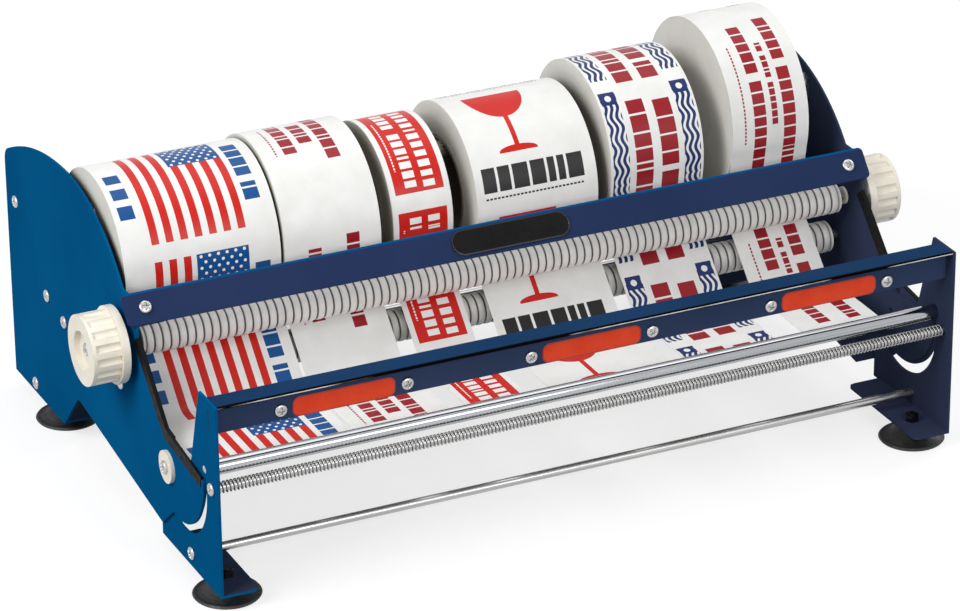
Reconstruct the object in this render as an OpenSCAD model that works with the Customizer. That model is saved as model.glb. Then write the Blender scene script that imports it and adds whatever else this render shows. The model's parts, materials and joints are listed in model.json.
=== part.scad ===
// Counter-top dispenser that carries six rolls of printed label tape side by side.
// X runs along the rolls, Y points to the back, Z is up; the origin lies on the counter,
// under the middle of the frame. Outlines are drawn as [distance behind the front edge, height].

/* [Overall] */
// Clear width between the two side plates
inner_w = 600; // [540:5:760]
// Depth from the front edge to the rear edge
depth = 420; // [400:5:480]
// Thickness of the sheet steel
plate_t = 2; // [1.5:0.25:3]
// Height of the plates' lower edges above the counter
foot_h = 13; // [10:1:20]
// Gap between pieces that are fitted together and do not turn
fit = 0.05; // [0.02:0.01:0.1]
// Radial clearance of a shaft that turns in its bush
run_fit = 0.05; // [0.02:0.01:0.1]

/* [Side plates] */
// Height of the highest point of the curved top
top_z = 236; // [232:1:244]
// Distance of the highest point behind the front edge
top_d = 280; // [270:1:290]
// Radius of the top curve in front of its highest point
top_front_r = 140; // [130:1:150]
// Radius of the top curve behind its highest point
top_rear_r = 300; // [280:5:340]
// Radius of the rear top corner
rear_corner_r = 14; // [6:1:24]
// Distance of the throat corner, where the sloping front edge ends
throat_d = 94; // [90:1:98]
// Height of the throat corner
throat_z = 106; // [103:1:109]
// Run of the sloping front edge, up and back from the throat
slope_run = 52; // [46:1:56]
// Distance of the centre of the round front lobe
lobe_d = 75; // [73:1:77]
// Height of the centre of the round front lobe
lobe_z = 96.5; // [95:0.5:98]
// Radius of the round front lobe
lobe_r = 52.5; // [51:0.5:54]
// Drop of the lobe's upper edge from the throat to the front
lobe_drop = 9; // [6:1:12]
// Distance of the front end of the lower edge
heel_d = 107; // [102:1:112]
// Height of the front end of the lower edge above the plate's foot
heel_rise = 12; // [8:1:16]
// Run of the rear foot's sloping front edge up to the notch
notch_run = 34; // [28:1:42]
// Height of the notch above the plate's foot
notch_rise = 37; // [30:1:42]
// Radius of the notch's inner corner
notch_r = 10; // [4:1:14]
// Length of the rear foot along the bottom
rear_foot_l = 108; // [100:1:112]
// Width of the flanges that the feet are fixed to
flange_w = 38; // [34:1:46]
// Width of the stiffening lip along the sloping lower edge
lip_w = 17; // [12:1:20]
// Height of that lip above the plate's edge
lip_rise = 0.6; // [0.4:0.1:1.5]
// Depth of the black edging on the sloping front edge
trim_in = 6.5; // [5:0.25:7]
// Thickness of the edging's walls
trim_t = 2.2; // [1.5:0.1:2.5]
// Length of the edging in front of the throat
trim_l = 68; // [60:1:69]

/* [Front frame] */
// Height of the front plates' upper edge
front_top_z = 165; // [160:1:170]
// Length of the front plates' upper edge
front_top_l = 31; // [29:1:36]
// Distance of the knee in the front plates' rear edge
knee_d = 51; // [49:1:54]
// Height of the knee in the front plates' rear edge
knee_z = 99; // [96:1:100]
// Distance of the shoulder behind the clamp screw
shoulder_d = 98; // [95:1:102]
// Height of the shoulder behind the clamp screw
shoulder_z = 95; // [92:1:97]
// Height below which the front plates' rear edge runs straight down
hip_z = 70; // [60:1:80]
// Length of the front plates along the bottom
front_foot_l = 113; // [108:1:118]
// Width of the flanges that the front feet are fixed to
front_flange_w = 28; // [26:1:34]
// Length of the flanges that the front feet are fixed to
front_flange_l = 104; // [96:1:107]
// Radius of the corners of all foot flanges
flange_r = 5; // [3:0.5:8]
// Distance of the clamp screw that joins front plate and side plate
clamp_d = 90; // [88:1:92]
// Height of the clamp screw
clamp_z = 79; // [77:0.5:81]
// Distance of the centre of the crescent window's outer arc
window_d = 70; // [68.5:0.5:71]
// Height of the centre of the crescent window's outer arc
window_z = 86.5; // [85.5:0.5:88]
// Radius of the outer arc of the crescent window
window_r = 48.5; // [47.5:0.5:49.5]
// Width of the window's hidden rim under the lobe
window_lap = 3; // [2:0.5:5]
// Radius of the nylon clamp washer
washer_r = 12.5; // [10:0.5:14]
// Thickness of the nylon clamp washer
washer_t = 3; // [2:0.5:4]

/* [Crossbar] */
// Distance of the middle of the crossbar's face
bar_d = 152; // [150:0.5:154]
// Height of the middle of the crossbar's face
bar_z = 178; // [176:0.5:180]
// Width of the crossbar
bar_w = 25; // [22:0.5:28]
// Lean of the crossbar's face, from lying flat
bar_tilt = 50; // [46:1:54]
// Length by which the crossbar stands past each side plate
bar_over = 6; // [4:0.5:10]
// Radius of the crossbar's corners
bar_corner_r = 4; // [2:0.5:8]
// Width of the side plates' tabs behind the crossbar
tab_w = 20; // [16:1:26]
// Distance of the crossbar's screws inside the side plates
bar_screw_in = 8; // [6:0.5:10]
// Length of the bare badge plate
badge_l = 98; // [80:1:120]
// Height of the bare badge plate
badge_h = 20; // [14:0.5:22]
// Thickness of the badge plate
badge_t = 1.2; // [0.8:0.1:2]
// Distance of the badge plate to the right of the middle
badge_x = 2.5; // [-40:0.5:40]

/* [Cutter rail] */
// Distance of the rail's upright leg behind the front edge
rail_d = 13; // [12:0.5:15]
// Width of the rail's top flange
rail_w = 19; // [17:0.5:22]
// Part of the top flange that stands in front of the leg
rail_front = 12; // [10:0.5:13]
// Air between the blade's teeth and the top flange
blade_air = 1.2; // [0.8:0.1:3]
// Height of the end tabs that pass through the front plates
rail_tab_h = 17; // [12:0.5:18]
// Height of the end tabs above the rail's lower edge
rail_tab_rise = 1.5; // [1:0.5:4]
// Thickness of the cutter blade
blade_t = 0.8; // [0.6:0.1:1.2]
// Height of the cutter blade
blade_h = 17; // [14:0.5:18]
// Part of the blade that shows above the guard strip
blade_show = 1.8; // [1:0.1:2]
// Pitch of the blade's teeth
tooth_pitch = 6; // [5:0.5:10]
// Depth of the blade's teeth
tooth_h = 1.2; // [0.8:0.1:1.6]
// Height of the guard strip in front of the blade
guard_h = 20; // [17:0.5:20.5]
// Number of screws along the guard strip
guard_screws_n = 6; // [4:2:8]
// Spacing of the screws along the guard strip
guard_pitch = 98.5; // [70:0.5:102]
// Height of the screws above the guard strip's lower edge
guard_rise = 8; // [7.5:0.25:10]
// Space between a red marker pill and the screws beside it
marker_gap = 4.25; // [1:0.25:10]
// Height of a red marker pill
marker_h = 15.6; // [12:0.2:16]
// Thickness of a red marker pill
marker_t = 0.5; // [0.3:0.1:1]

/* [Rods] */
// Radius of the chrome peel bar
peel_r = 6; // [5:0.25:7]
// Distance of the peel bar behind the front edge
peel_d = 24.6; // [23.6:0.2:26]
// Height of the peel bar
peel_z = 106; // [104:0.5:108]
// Radius of the pins on the peel bar's ends
peel_pin_r = 3; // [2:0.25:4]
// Radius of the rod inside the spring
spring_rod_r = 3; // [2.5:0.1:3.3]
// Distance of the spring rod behind the front edge
spring_d = 11.5; // [10:0.5:12]
// Height of the spring rod
spring_z = 96.4; // [95:0.2:97]
// Radius of the tie rods
tie_r = 3.5; // [3:0.25:5]
// Distance of the lower front tie rod
tie_front_d = 54.5; // [50:0.5:58]
// Distance of the lower rear tie rod in front of the rear edge
tie_rear_in = 48; // [40:1:56]
// Height of the lower front tie rod above the plates' feet
tie_front_rise = 11.5; // [9:0.5:14]
// Height of the lower rear tie rod above the plates' feet
tie_rear_rise = 9; // [8:0.5:12]
// Distance of the upper rear tie rod in front of the rear edge
tie_top_in = 22; // [16:1:28]
// Height of the upper rear tie rod
tie_top_z = 166; // [160:1:172]

/* [Spring] */
// Space between the rod and the curls round it
coil_gap = 0.4; // [0.3:0.05:0.8]
// Diameter of the spring wire
wire_d = 1.2; // [0.8:0.1:1.3]
// Number of curls along the rod
curls = 88; // [60:1:90]

/* [Rollers] */
// Radius of both ribbed rollers
roller_r = 12.5; // [11:0.25:14]
// Pitch of the ribs
rib_pitch = 7.2; // [6:0.2:9]
// Width of the groove between two ribs
groove_w = 1.4; // [1:0.1:2]
// Depth of the groove between two ribs
groove_h = 1.2; // [0.8:0.1:2]
// Space between a roller's end and the side plate
roller_gap = 8; // [6:0.5:14]
// Radius of the shaft and of the axle
shaft_r = 4; // [3.5:0.25:5]
// Distance of the drive roller's axis
drive_d = 171; // [169:0.5:172]
// Height of the drive roller's axis
drive_z = 144; // [142:0.5:145]
// Distance of the guide roller's axis
guide_d = 182; // [180:0.5:186]
// Height of the guide roller's axis
guide_z = 106; // [102:0.5:108]
// Radius of the bushes' bodies in the side plates
bush_r = 7; // [6:0.25:9]
// Radius of the bushes' flanges
bush_flange_r = 10; // [9:0.5:13]
// Thickness of the bushes' flanges
bush_flange_t = 2; // [1.5:0.25:3]

/* [Knobs] */
// Radius of the fluted grip
knob_r = 27; // [24:0.5:29]
// Radius of the knob's flange
knob_flange_r = 29.5; // [29:0.5:33]
// Thickness of the knob's flange
knob_flange_t = 6; // [4:0.5:8]
// Length of the whole knob
knob_l = 28; // [24:0.5:32]
// Space between the side plate and the knob
knob_gap = 6; // [5:0.5:10]
// Number of flutes
flutes = 16; // [12:1:18]
// Radius of a flute
flute_r = 3.2; // [2.5:0.1:4]
// Radius of the dish in the knob's face
dish_r = 15; // [12:0.5:18]
// Depth of the dish in the knob's face
dish_h = 5; // [3:0.5:7]

/* [Spindle] */
// Radius of the tube that the rolls hang on
spindle_r = 9.5; // [8:0.25:11]
// Wall of the spindle tube
spindle_wall = 1.5; // [1:0.25:2.5]
// Distance of the spindle behind the front edge
spindle_d = 246; // [245:0.5:250]
// Depth of the spindle below the plates' highest point
spindle_drop = 25; // [22:0.5:25.5]
// Play of the spindle in its brackets
spindle_play = 0.25; // [0.1:0.05:0.5]
// Thickness of the brackets that hold the spindle
bracket_t = 3; // [2:0.5:4]
// Radius of a bracket's rounded lower end
bracket_r = 16; // [14:0.5:18]

/* [Stretcher] */
// Distance of the stretcher's front screws
brace_front_d = 300; // [297:1:303]
// Height of the stretcher's front screws
brace_front_z = 105; // [101:1:109]
// Distance of the stretcher's rear screws
brace_rear_d = 336; // [330:1:340]
// Height of the stretcher's rear screws
brace_rear_z = 112; // [108:1:116]
// Radius of the rounded corners of the stretcher's end flanges
brace_r = 8; // [7:0.5:10]
// Height of the stretcher's web above the line of its screws
brace_rise = 9; // [8:0.5:12]

/* [Label rolls] */
// Widths of the rolls, from left to right
roll_w = [124, 78.5, 50, 102, 80, 67];
// Outer radii of the rolls
roll_r = [65, 68, 62, 66, 67, 71.5];
// Inner radii of the card cores
core_r = [38.1, 38.1, 38.1, 38.1, 25.4, 12.7];
// Spaces beside the rolls, as shares of the width that the rolls leave free
space_share = [4, 1.5, 12, 18, 10, 22, 31];
// Wall of the card cores
core_wall = 3; // [2:0.25:4]
// Space between the spindle's top and the cores that hang on it
hang_gap = 0.3; // [0.2:0.05:0.5]
// Thickness of the drawn-out tape
tape_t = 0.3; // [0.2:0.05:0.5]
// Space between the tape and what it runs over
tape_gap = 0.35; // [0.3:0.05:0.6]
// Length of the tape's steep run below the drive roller
drop_l = 58; // [54:0.5:60]
// Radius of the tape's bend at the throat
bend_r = 15; // [10:0.5:18]
// Distance of the tape's end behind the front edge
tape_end_d = 32; // [31:0.5:36]
// Length of the tape's last stretch, which lifts towards the peel bar
lift_l = 28; // [20:1:34]
// Lift of the tape's end
lift_h = 3.5; // [2:0.25:4]

/* [Feet and screws] */
// Radius of the rubber feet
foot_r = 25.5; // [22:0.5:28]
// Thickness of the rubber feet's rims
foot_rim = 2.5; // [1.5:0.25:4]
// Radius of the rubber feet's necks
foot_neck_r = 9; // [7:0.5:12]
// Distance of the front feet behind the front edge
foot_front_d = 29; // [27:0.5:34]
// Distance of the rear feet in front of the rear edge
foot_rear_in = 73; // [64:1:80]
// Distance of the feet inside the plates' inner faces
foot_in = 14; // [13:0.5:18]
// Radius of the feet's studs
stud_r = 3; // [2.5:0.25:4]
// Radius of the screws' heads
head_r = 5; // [4.25:0.25:5.5]
// Height of the screws' heads
head_h = 2.8; // [2:0.2:3.4]
// Radius of the screws' shanks
shank_r = 2; // [1.5:0.1:2.2]
// Length of the screws' shanks
shank_l = 12; // [10:0.5:16]

/* [Hidden] */
$fn = 64;
eps = 0.01;
steel = "silver";
blue = "#0b4f8f";
nylon = "ivory";
card = "tan";
paper = "white";
half_in = inner_w / 2;
half_out = half_in + plate_t;
spindle_z = top_z - spindle_drop;
front_in = half_in - plate_t;
notch_d = depth - rear_foot_l - notch_run;
tie_rear_d = depth - tie_rear_in;
tie_top_d = depth - tie_top_in;
foot_rear_d = depth - foot_rear_in;
tie_front_z = foot_h + tie_front_rise;
tie_rear_z = foot_h + tie_rear_rise;
roller_end = half_in - roller_gap;
rail_top_z = front_top_z - plate_t;
rail_low_z = rail_top_z - guard_h - blade_show - blade_air;
marker_l = guard_pitch - 2 * (head_r + marker_gap);
coil_r = spring_rod_r + coil_gap + wire_d / 2;
rail_rear = rail_d + rail_w - rail_front;
blade_d = rail_d - blade_t;
guard_d = blade_d - plate_t;
knob_base = half_out + knob_gap;
knob_end = knob_base + knob_l;
knob_face = knob_end - dish_h;
free_w = inner_w - sum(roll_w, 6);
share_sum = sum(space_share, 7);
tape_r = roller_r + tape_gap + tape_t / 2;
nut_r = stud_r * 1.9;
nut_h = stud_r * 1.6;
spring_from = -front_in + fit;
spring_len = 2 * front_in - 2 * fit;

// Sum of the first n entries of a list
function sum(v, n) = n == 0 ? 0 : v[n - 1] + sum(v, n - 1);
// Left edge of roll k, counted from 0
function roll_x(k) = -half_in + sum(roll_w, k) + sum(space_share, k + 1) * free_w / share_sum;
// Height of the middle of roll k, which hangs on the spindle by its core
function roll_z(k) = spindle_z + spindle_r + hang_gap - core_r[k];
// Points of an arc in the outline plane
function arc(c, r, from, to, n) =
  [for (i = [0:n]) c + r * [cos(from + (to - from) * i / n), sin(from + (to - from) * i / n)]];
// Point on the crossbar's section: along the face, and out from the face
function bar_point(along, out) =
  [bar_d + along * cos(bar_tilt) - out * sin(bar_tilt), bar_z + along * sin(bar_tilt) + out * cos(bar_tilt)];

// Stands an outline upright and gives it a thickness along X
module upright(x, t) {
  translate([x, -depth / 2, 0])
    rotate([90, 0, 90])
      linear_extrude(t)
        children();
}

// Round bar along X
module rod(d, z, r, x, l) {
  translate([x, d - depth / 2, z])
    rotate([0, 90, 0])
      cylinder(h = l, r = r);
}

// Puts children on both sides of the frame
module both_sides() {
  children();
  mirror([1, 0, 0])
    children();
}

// Frame on the crossbar's face: X along the bar, Y up the face, Z out of it
module on_bar(x) {
  translate([x, bar_d - depth / 2, bar_z])
    rotate([bar_tilt, 0, 0])
      children();
}

// Rounded rectangle about the origin
module rounded(w, h, r) {
  square([w - 2 * r, h], center = true);
  square([w, h - 2 * r], center = true);
  for (x = [-1, 1], y = [-1, 1])
    translate([x * (w / 2 - r), y * (h / 2 - r)])
      circle(r);
}

// Pan head screw with its seat at the origin, head up
module screw(length = shank_l) {
  rotate_extrude()
    polygon(concat(
      [[0, -length], [shank_r, -length], [shank_r, 0], [head_r, 0], [head_r, head_h * 0.35]],
      arc([0, head_h - head_r * 1.6], head_r * 1.6, 52, 90, 6)));
}

// Screw that points inwards from the right-hand side
module side_screw(x, d, z) {
  translate([x, d - depth / 2, z])
    rotate([0, 90, 0])
      screw();
}

// Corner cut that leaves a round of radius r about c between two directions
module corner_cut(c, r, from, to) {
  difference() {
    polygon([c, c + 3 * r * [cos(from), sin(from)],
             c + 4 * r * [cos((from + to) / 2), sin((from + to) / 2)],
             c + 3 * r * [cos(to), sin(to)]]);
    translate(c)
      circle(r);
  }
}

// Outline of a side plate without its holes
module side_outline() {
  seat_top = bar_point(bar_w / 2, -plate_t);
  seat_low = bar_point(-bar_w / 2, -plate_t);
  rear_c = [top_d, top_z - top_rear_r];
  corner_d = depth - rear_corner_r;
  corner_rise = sqrt(pow(top_rear_r - rear_corner_r, 2) - pow(corner_d - top_d, 2));
  corner_c = rear_c + [corner_d - top_d, corner_rise];
  notch = [notch_d, foot_h + notch_rise];
  edge_a = atan2(notch_rise - heel_rise, notch_d - heel_d);
  foot_a = atan2(-notch_rise, depth - rear_foot_l - notch_d);
  half_a = (edge_a - foot_a) / 2;
  mid_a = (edge_a + foot_a) / 2 + 90;
  notch_c = notch - notch_r / cos(half_a) * [cos(mid_a), sin(mid_a)];
  difference() {
    intersection() {
      union() {
        polygon(concat([
          [depth - rear_foot_l, foot_h], [depth, foot_h], [depth, top_z],
          [seat_top[0], top_z], seat_top, seat_low,
          [throat_d + slope_run, throat_z + slope_run], [throat_d, throat_z],
          [lobe_d, lobe_z], [lobe_d + 2 * window_lap, lobe_z - lobe_r + window_lap],
          [heel_d, foot_h + heel_rise]
        ], arc(notch_c, notch_r, edge_a + 90, foot_a + 90, 6)));
        lobe();
      }
      union() {
        square([depth, seat_top[1]]);
        intersection() {
          translate([top_d, top_z - top_front_r])
            circle(top_front_r, $fn = 128);
          square([top_d, top_z]);
        }
        intersection() {
          translate(rear_c)
            circle(top_rear_r, $fn = 128);
          translate([top_d, 0])
            square([depth - top_d, top_z]);
        }
      }
    }
    corner_cut(corner_c, rear_corner_r, 0, atan2(corner_rise, corner_d - top_d));
  }
}

// Round front of a side plate, cut off along its falling upper edge
module lobe() {
  edge_slope = lobe_drop / (throat_d - lobe_d + lobe_r);
  intersection() {
    union() {
      translate([lobe_d, lobe_z])
        circle(lobe_r);
      translate([lobe_d, lobe_z])
        square([throat_d - lobe_d + plate_t, lobe_r]);
    }
    polygon([[throat_d, throat_z], [-throat_d, throat_z - 2 * throat_d * edge_slope], [-throat_d, 0], [throat_d, 0]]);
  }
}

// Clearance holes of a side plate
module side_holes() {
  translate([drive_d, drive_z])
    circle(bush_r + fit);
  for (p = [[guide_d, guide_z], [clamp_d, clamp_z], [tie_rear_d, tie_rear_z], [tie_top_d, tie_top_z],
            [brace_front_d, brace_front_z], [brace_rear_d, brace_rear_z]])
    translate(p)
      circle(shank_r + fit);
}

// Foot flange bent inwards from a plate, drilled for a foot's stud
module foot_flange(from_d, length, width, at_d) {
  inner = half_in - width;
  front = from_d - depth / 2;
  rear = front + length;
  difference() {
    translate([0, 0, foot_h])
      linear_extrude(plate_t)
        polygon(concat(
          [[half_out, front]],
          arc([inner + flange_r, front + flange_r], flange_r, 270, 180, 5),
          arc([inner + flange_r, rear - flange_r], flange_r, 180, 90, 5),
          [[half_out, rear]]));
    translate([half_in - foot_in, at_d - depth / 2, foot_h - eps])
      cylinder(h = plate_t + 2 * eps, r = stud_r + fit);
  }
}

// Section of the stiffening lip along a side plate's sloping lower edge
module lower_lip() {
  slope = (notch_rise - heel_rise) / (notch_d - heel_d);
  front = front_foot_l + plate_t;
  rear = notch_d - 2 * notch_r;
  low = foot_h + heel_rise + lip_rise;
  polygon([[front, low + slope * (front - heel_d)], [rear, low + slope * (rear - heel_d)],
           [rear, low + plate_t + slope * (rear - heel_d)], [front, low + plate_t + slope * (front - heel_d)]]);
}

// Band along the sloping front edge and the lobe's upper edge, between two offsets from the edge
module edge_band(from, to, up_l, front_l) {
  fall = atan2(lobe_drop, throat_d - lobe_d + lobe_r);
  throat = [throat_d, throat_z];
  up = [cos(45), sin(45)];
  up_n = [-sin(45), cos(45)];
  level = [cos(fall), sin(fall)];
  level_n = [-sin(fall), cos(fall)];
  corner = (up_n + level_n) / (1 + up_n * level_n);
  polygon([throat + from * corner, throat + up_l * up + from * up_n, throat + up_l * up + to * up_n,
           throat + to * corner, throat - front_l * level + to * level_n, throat - front_l * level + from * level_n]);
}

// Black edging pushed on the right-hand side plate's front edge
module edge_trim() {
  up_l = slope_run * sqrt(2) - 1;
  color("#101014")
    difference() {
      upright(half_in - trim_t, plate_t + 2 * trim_t)
        edge_band(-trim_in, trim_t, up_l, trim_l);
      upright(half_in - fit, plate_t + 2 * fit)
        edge_band(-2 * trim_in, fit, up_l + trim_in, trim_l + trim_in);
      upright(half_in - 2 * trim_t, 2 * trim_t + fit)
        square([throat_d - 2 * trim_in, top_z]);
    }
}

module edge_trim_right() {
  edge_trim();
}

module edge_trim_left() {
  mirror([1, 0, 0])
    edge_trim();
}

// Right-hand side plate with its foot flange and crossbar tab
module side_plate() {
  color(blue) {
    upright(half_in, plate_t)
      difference() {
        side_outline();
        side_holes();
      }
    foot_flange(depth - rear_foot_l, rear_foot_l, flange_w, foot_rear_d);
    upright(half_in - lip_w, lip_w + plate_t / 2)
      lower_lip();
    difference() {
      on_bar(half_in - tab_w)
        translate([0, -bar_w / 2, -2 * plate_t])
          cube([tab_w + plate_t, bar_w, plate_t]);
      on_bar(half_in - bar_screw_in)
        translate([0, 0, -3 * plate_t])
          cylinder(h = 3 * plate_t, r = shank_r + fit);
    }
  }
}

module side_plate_right() {
  side_plate();
}

module side_plate_left() {
  mirror([1, 0, 0])
    side_plate();
}

// Crescent window of a front plate, partly behind the side plate's lobe
module crescent() {
  intersection() {
    translate([window_d, window_z])
      circle(window_r);
    difference() {
      square([shoulder_d - window_lap * 2, lobe_z + window_lap]);
      translate([lobe_d, lobe_z])
        circle(lobe_r - window_lap);
    }
  }
}

// Outline of a front plate with its holes
module front_outline() {
  difference() {
    polygon([[0, foot_h], [front_foot_l, foot_h], [front_foot_l, hip_z],
             [shoulder_d, shoulder_z], [knee_d, knee_z],
             [front_top_l, front_top_z], [0, front_top_z]]);
    crescent();
    translate([rail_d - fit, rail_low_z + rail_tab_rise - fit])
      square([plate_t + 2 * fit, rail_tab_h + 2 * fit]);
    for (p = [[clamp_d, clamp_z], [spring_d, spring_z], [tie_front_d, tie_front_z]])
      translate(p)
        circle(shank_r + fit);
    translate([peel_d, peel_z])
      circle(peel_pin_r + fit);
  }
}

// Right-hand front plate with its foot flange
module front_plate() {
  color(blue) {
    upright(front_in, plate_t)
      front_outline();
    translate([-plate_t, 0, 0])
      foot_flange(0, front_flange_l, front_flange_w, foot_front_d);
  }
}

module front_plate_right() {
  front_plate();
}

module front_plate_left() {
  mirror([1, 0, 0])
    front_plate();
}

// Sloping bar in front of the rolls
module crossbar() {
  color(blue)
    difference() {
      on_bar(0)
        translate([0, 0, -plate_t])
          linear_extrude(plate_t)
            rounded(2 * (half_out + bar_over), bar_w, bar_corner_r);
      both_sides()
        on_bar(half_in - bar_screw_in)
          translate([0, 0, -plate_t - eps])
            cylinder(h = plate_t + 2 * eps, r = shank_r + fit);
    }
}

module crossbar_screws() {
  color(steel)
    both_sides()
      on_bar(half_in - bar_screw_in)
        screw();
}

// Bare oval badge plate on the crossbar
module badge_plate() {
  color("black")
    on_bar(badge_x)
      linear_extrude(badge_t)
        rounded(badge_l, badge_h, badge_h / 2 - eps);
}

// Rail across the front plates: a top flange over an upright leg with end tabs
module front_rail() {
  color(blue)
    difference() {
      union() {
        translate([-front_in + fit, rail_d - rail_front - depth / 2, rail_top_z])
          cube([2 * (front_in - fit), rail_w, plate_t]);
        translate([-front_in + fit, rail_d - depth / 2, rail_low_z])
          cube([2 * (front_in - fit), plate_t, front_top_z - rail_low_z]);
        translate([-half_in, rail_d - depth / 2, rail_low_z + rail_tab_rise])
          cube([inner_w, plate_t, rail_tab_h]);
      }
      guard_holes();
    }
}

// Middles of the guard strip's screws along X
function guard_x(i) = (i - (guard_screws_n - 1) / 2) * guard_pitch;

// Holes for the guard strip's screws through rail, blade and strip
module guard_holes() {
  for (i = [0:guard_screws_n - 1])
    translate([guard_x(i), -depth / 2, rail_low_z + guard_rise])
      rotate([-90, 0, 0])
        cylinder(h = rail_rear, r = shank_r + fit);
}

// Toothed steel blade behind the guard strip
module cutter_blade() {
  teeth = floor(2 * front_in / tooth_pitch) - 1;
  color(steel)
    difference() {
      translate([0, rail_d - depth / 2, rail_low_z + guard_h + blade_show - blade_h])
        rotate([90, 0, 0])
          linear_extrude(blade_t)
            polygon(concat(
              [[teeth * tooth_pitch / 2, 0], [-teeth * tooth_pitch / 2, 0]],
              [for (i = [0:teeth]) each [
                [(i - teeth / 2) * tooth_pitch, blade_h - tooth_h],
                if (i < teeth) [(i + 0.5 - teeth / 2) * tooth_pitch, blade_h]]]));
      guard_holes();
    }
}

// Painted strip that guards the blade
module guard_strip() {
  color(blue)
    difference() {
      translate([-front_in + fit, guard_d - depth / 2, rail_low_z])
        cube([2 * (front_in - fit), plate_t, guard_h]);
      guard_holes();
    }
}

module guard_screws() {
  color(steel)
    for (i = [0:guard_screws_n - 1])
      translate([guard_x(i), guard_d - depth / 2, rail_low_z + guard_rise])
        rotate([90, 0, 0])
          screw(rail_rear - guard_d);
}

// Plain red pills between every second pair of screws
module red_markers() {
  color("orangered")
    for (i = [0:2:guard_screws_n - 2])
      translate([(guard_x(i) + guard_x(i + 1)) / 2, guard_d - depth / 2, rail_low_z + guard_rise])
        rotate([90, 0, 0])
          linear_extrude(marker_t)
            rounded(marker_l, marker_h, marker_h * 0.35);
}

// Chrome bar that the tape ends lie on, with pins in the front plates
module peel_bar() {
  color(steel) {
    rod(peel_d, peel_z, peel_r, -front_in + fit, 2 * (front_in - fit));
    rod(peel_d, peel_z, peel_pin_r, -half_in, inner_w);
  }
}

// Rod drilled at both ends for a screw
module drilled_rod(d, z, r, half_l) {
  color(steel)
    difference() {
      rod(d, z, r, -half_l + fit, 2 * (half_l - fit));
      both_sides()
        rod(d, z, shank_r + fit, half_l - shank_l - 1, shank_l + 2);
    }
}

module spring_rod() {
  drilled_rod(spring_d, spring_z, spring_rod_r, front_in);
}

module lower_front_rod() {
  drilled_rod(tie_front_d, tie_front_z, tie_r, front_in);
}

module lower_rear_rod() {
  drilled_rod(tie_rear_d, tie_rear_z, tie_r, half_in);
}

module upper_rear_rod() {
  drilled_rod(tie_top_d, tie_top_z, tie_r, half_in);
}

// Screws that hold the rods between the plates
module rod_screws() {
  color(steel)
    both_sides() {
      side_screw(half_in, spring_d, spring_z);
      side_screw(half_in, tie_front_d, tie_front_z);
      side_screw(half_out, tie_rear_d, tie_rear_z);
      side_screw(half_out, tie_top_d, tie_top_z);
    }
}

// Points along the spring wire: a short straight end, the curls, a short straight end
ring_n = 8;
side_n = 6;
lead = 2 * wire_d;
coil_steps = curls * ring_n;
function coil_at(x, a) = [x, coil_r * cos(a), coil_r * sin(a)];
coil_path = concat(
  [coil_at(spring_from, 0), coil_at(spring_from + wire_d, 0)],
  [for (i = [1:coil_steps - 1])
    coil_at(spring_from + lead + (spring_len - 2 * lead) * i / coil_steps, 360 * i / ring_n)],
  [coil_at(spring_from + spring_len - wire_d, 0), coil_at(spring_from + spring_len, 0)]);
coil_count = len(coil_path);
function unit(v) = v / norm(v);
function tangent(i) = unit(coil_path[min(i + 1, coil_count - 1)] - coil_path[max(i - 1, 0)]);
function radial(i) = unit([0, coil_path[i][1], coil_path[i][2]]);
function wire_ring(i) =
  let (t = tangent(i), n = unit(radial(i) - t * (radial(i) * t)), b = cross(t, n))
    [for (k = [0:side_n - 1])
      coil_path[i] + wire_d / 2 * (n * cos(360 * k / side_n) + b * sin(360 * k / side_n))];
// Least gap between neighbouring curls, measured on the path's points
wire_gap = min([for (i = [2:coil_count - 3 - 2 * ring_n], j = [ring_n - 3:ring_n + 3])
  norm(coil_path[i] - coil_path[i + j])]) - wire_d;

// Spring round the rod, which the gummed tape ends touch at its curls only
module contact_spring() {
  echo(str("least gap of the spring wire to itself: ", wire_gap, " mm"));
  last = (coil_count - 1) * side_n;
  color(steel)
    translate([0, spring_d - depth / 2, spring_z])
      polyhedron(
        points = [for (i = [0:coil_count - 1]) each wire_ring(i)],
        faces = concat(
          [for (k = [1:side_n - 2]) [0, k, k + 1]],
          [for (i = [0:coil_count - 2], k = [0:side_n - 1]) each
            let (a = i * side_n + k, b = i * side_n + (k + 1) % side_n)
              [[a, a + side_n, b], [b, a + side_n, b + side_n]]],
          [for (k = [1:side_n - 2]) [last, last + k + 1, last + k]]));
}

// Nylon washers under the screws that clamp front frame and side plates together
module clamp_washers() {
  color(nylon)
    both_sides()
      difference() {
        rod(clamp_d, clamp_z, washer_r, half_out, washer_t);
        rod(clamp_d, clamp_z, shank_r + fit, half_out - eps, washer_t + 2 * eps);
      }
}

module clamp_screws() {
  color(steel)
    both_sides()
      side_screw(half_out + washer_t, clamp_d, clamp_z);
}

// Tube that carries the rolls
module spindle() {
  color(steel)
    difference() {
      rod(spindle_d, spindle_z, spindle_r, -half_in + fit, inner_w - 2 * fit);
      rod(spindle_d, spindle_z, spindle_r - spindle_wall, -half_in, inner_w);
    }
}

// Bracket welded inside a side plate, open at the top so that the spindle lifts out
module spindle_bracket() {
  color(steel)
    upright(half_in - bracket_t, bracket_t)
      difference() {
        union() {
          translate([spindle_d, spindle_z])
            circle(bracket_r);
          translate([spindle_d - bracket_r, spindle_z])
            square([2 * bracket_r, spindle_r]);
        }
        translate([spindle_d, spindle_z])
          circle(spindle_r + spindle_play);
        translate([spindle_d - spindle_r - spindle_play, spindle_z])
          square([2 * (spindle_r + spindle_play), 2 * bracket_r]);
      }
}

module spindle_bracket_right() {
  spindle_bracket();
}

module spindle_bracket_left() {
  mirror([1, 0, 0])
    spindle_bracket();
}

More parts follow.
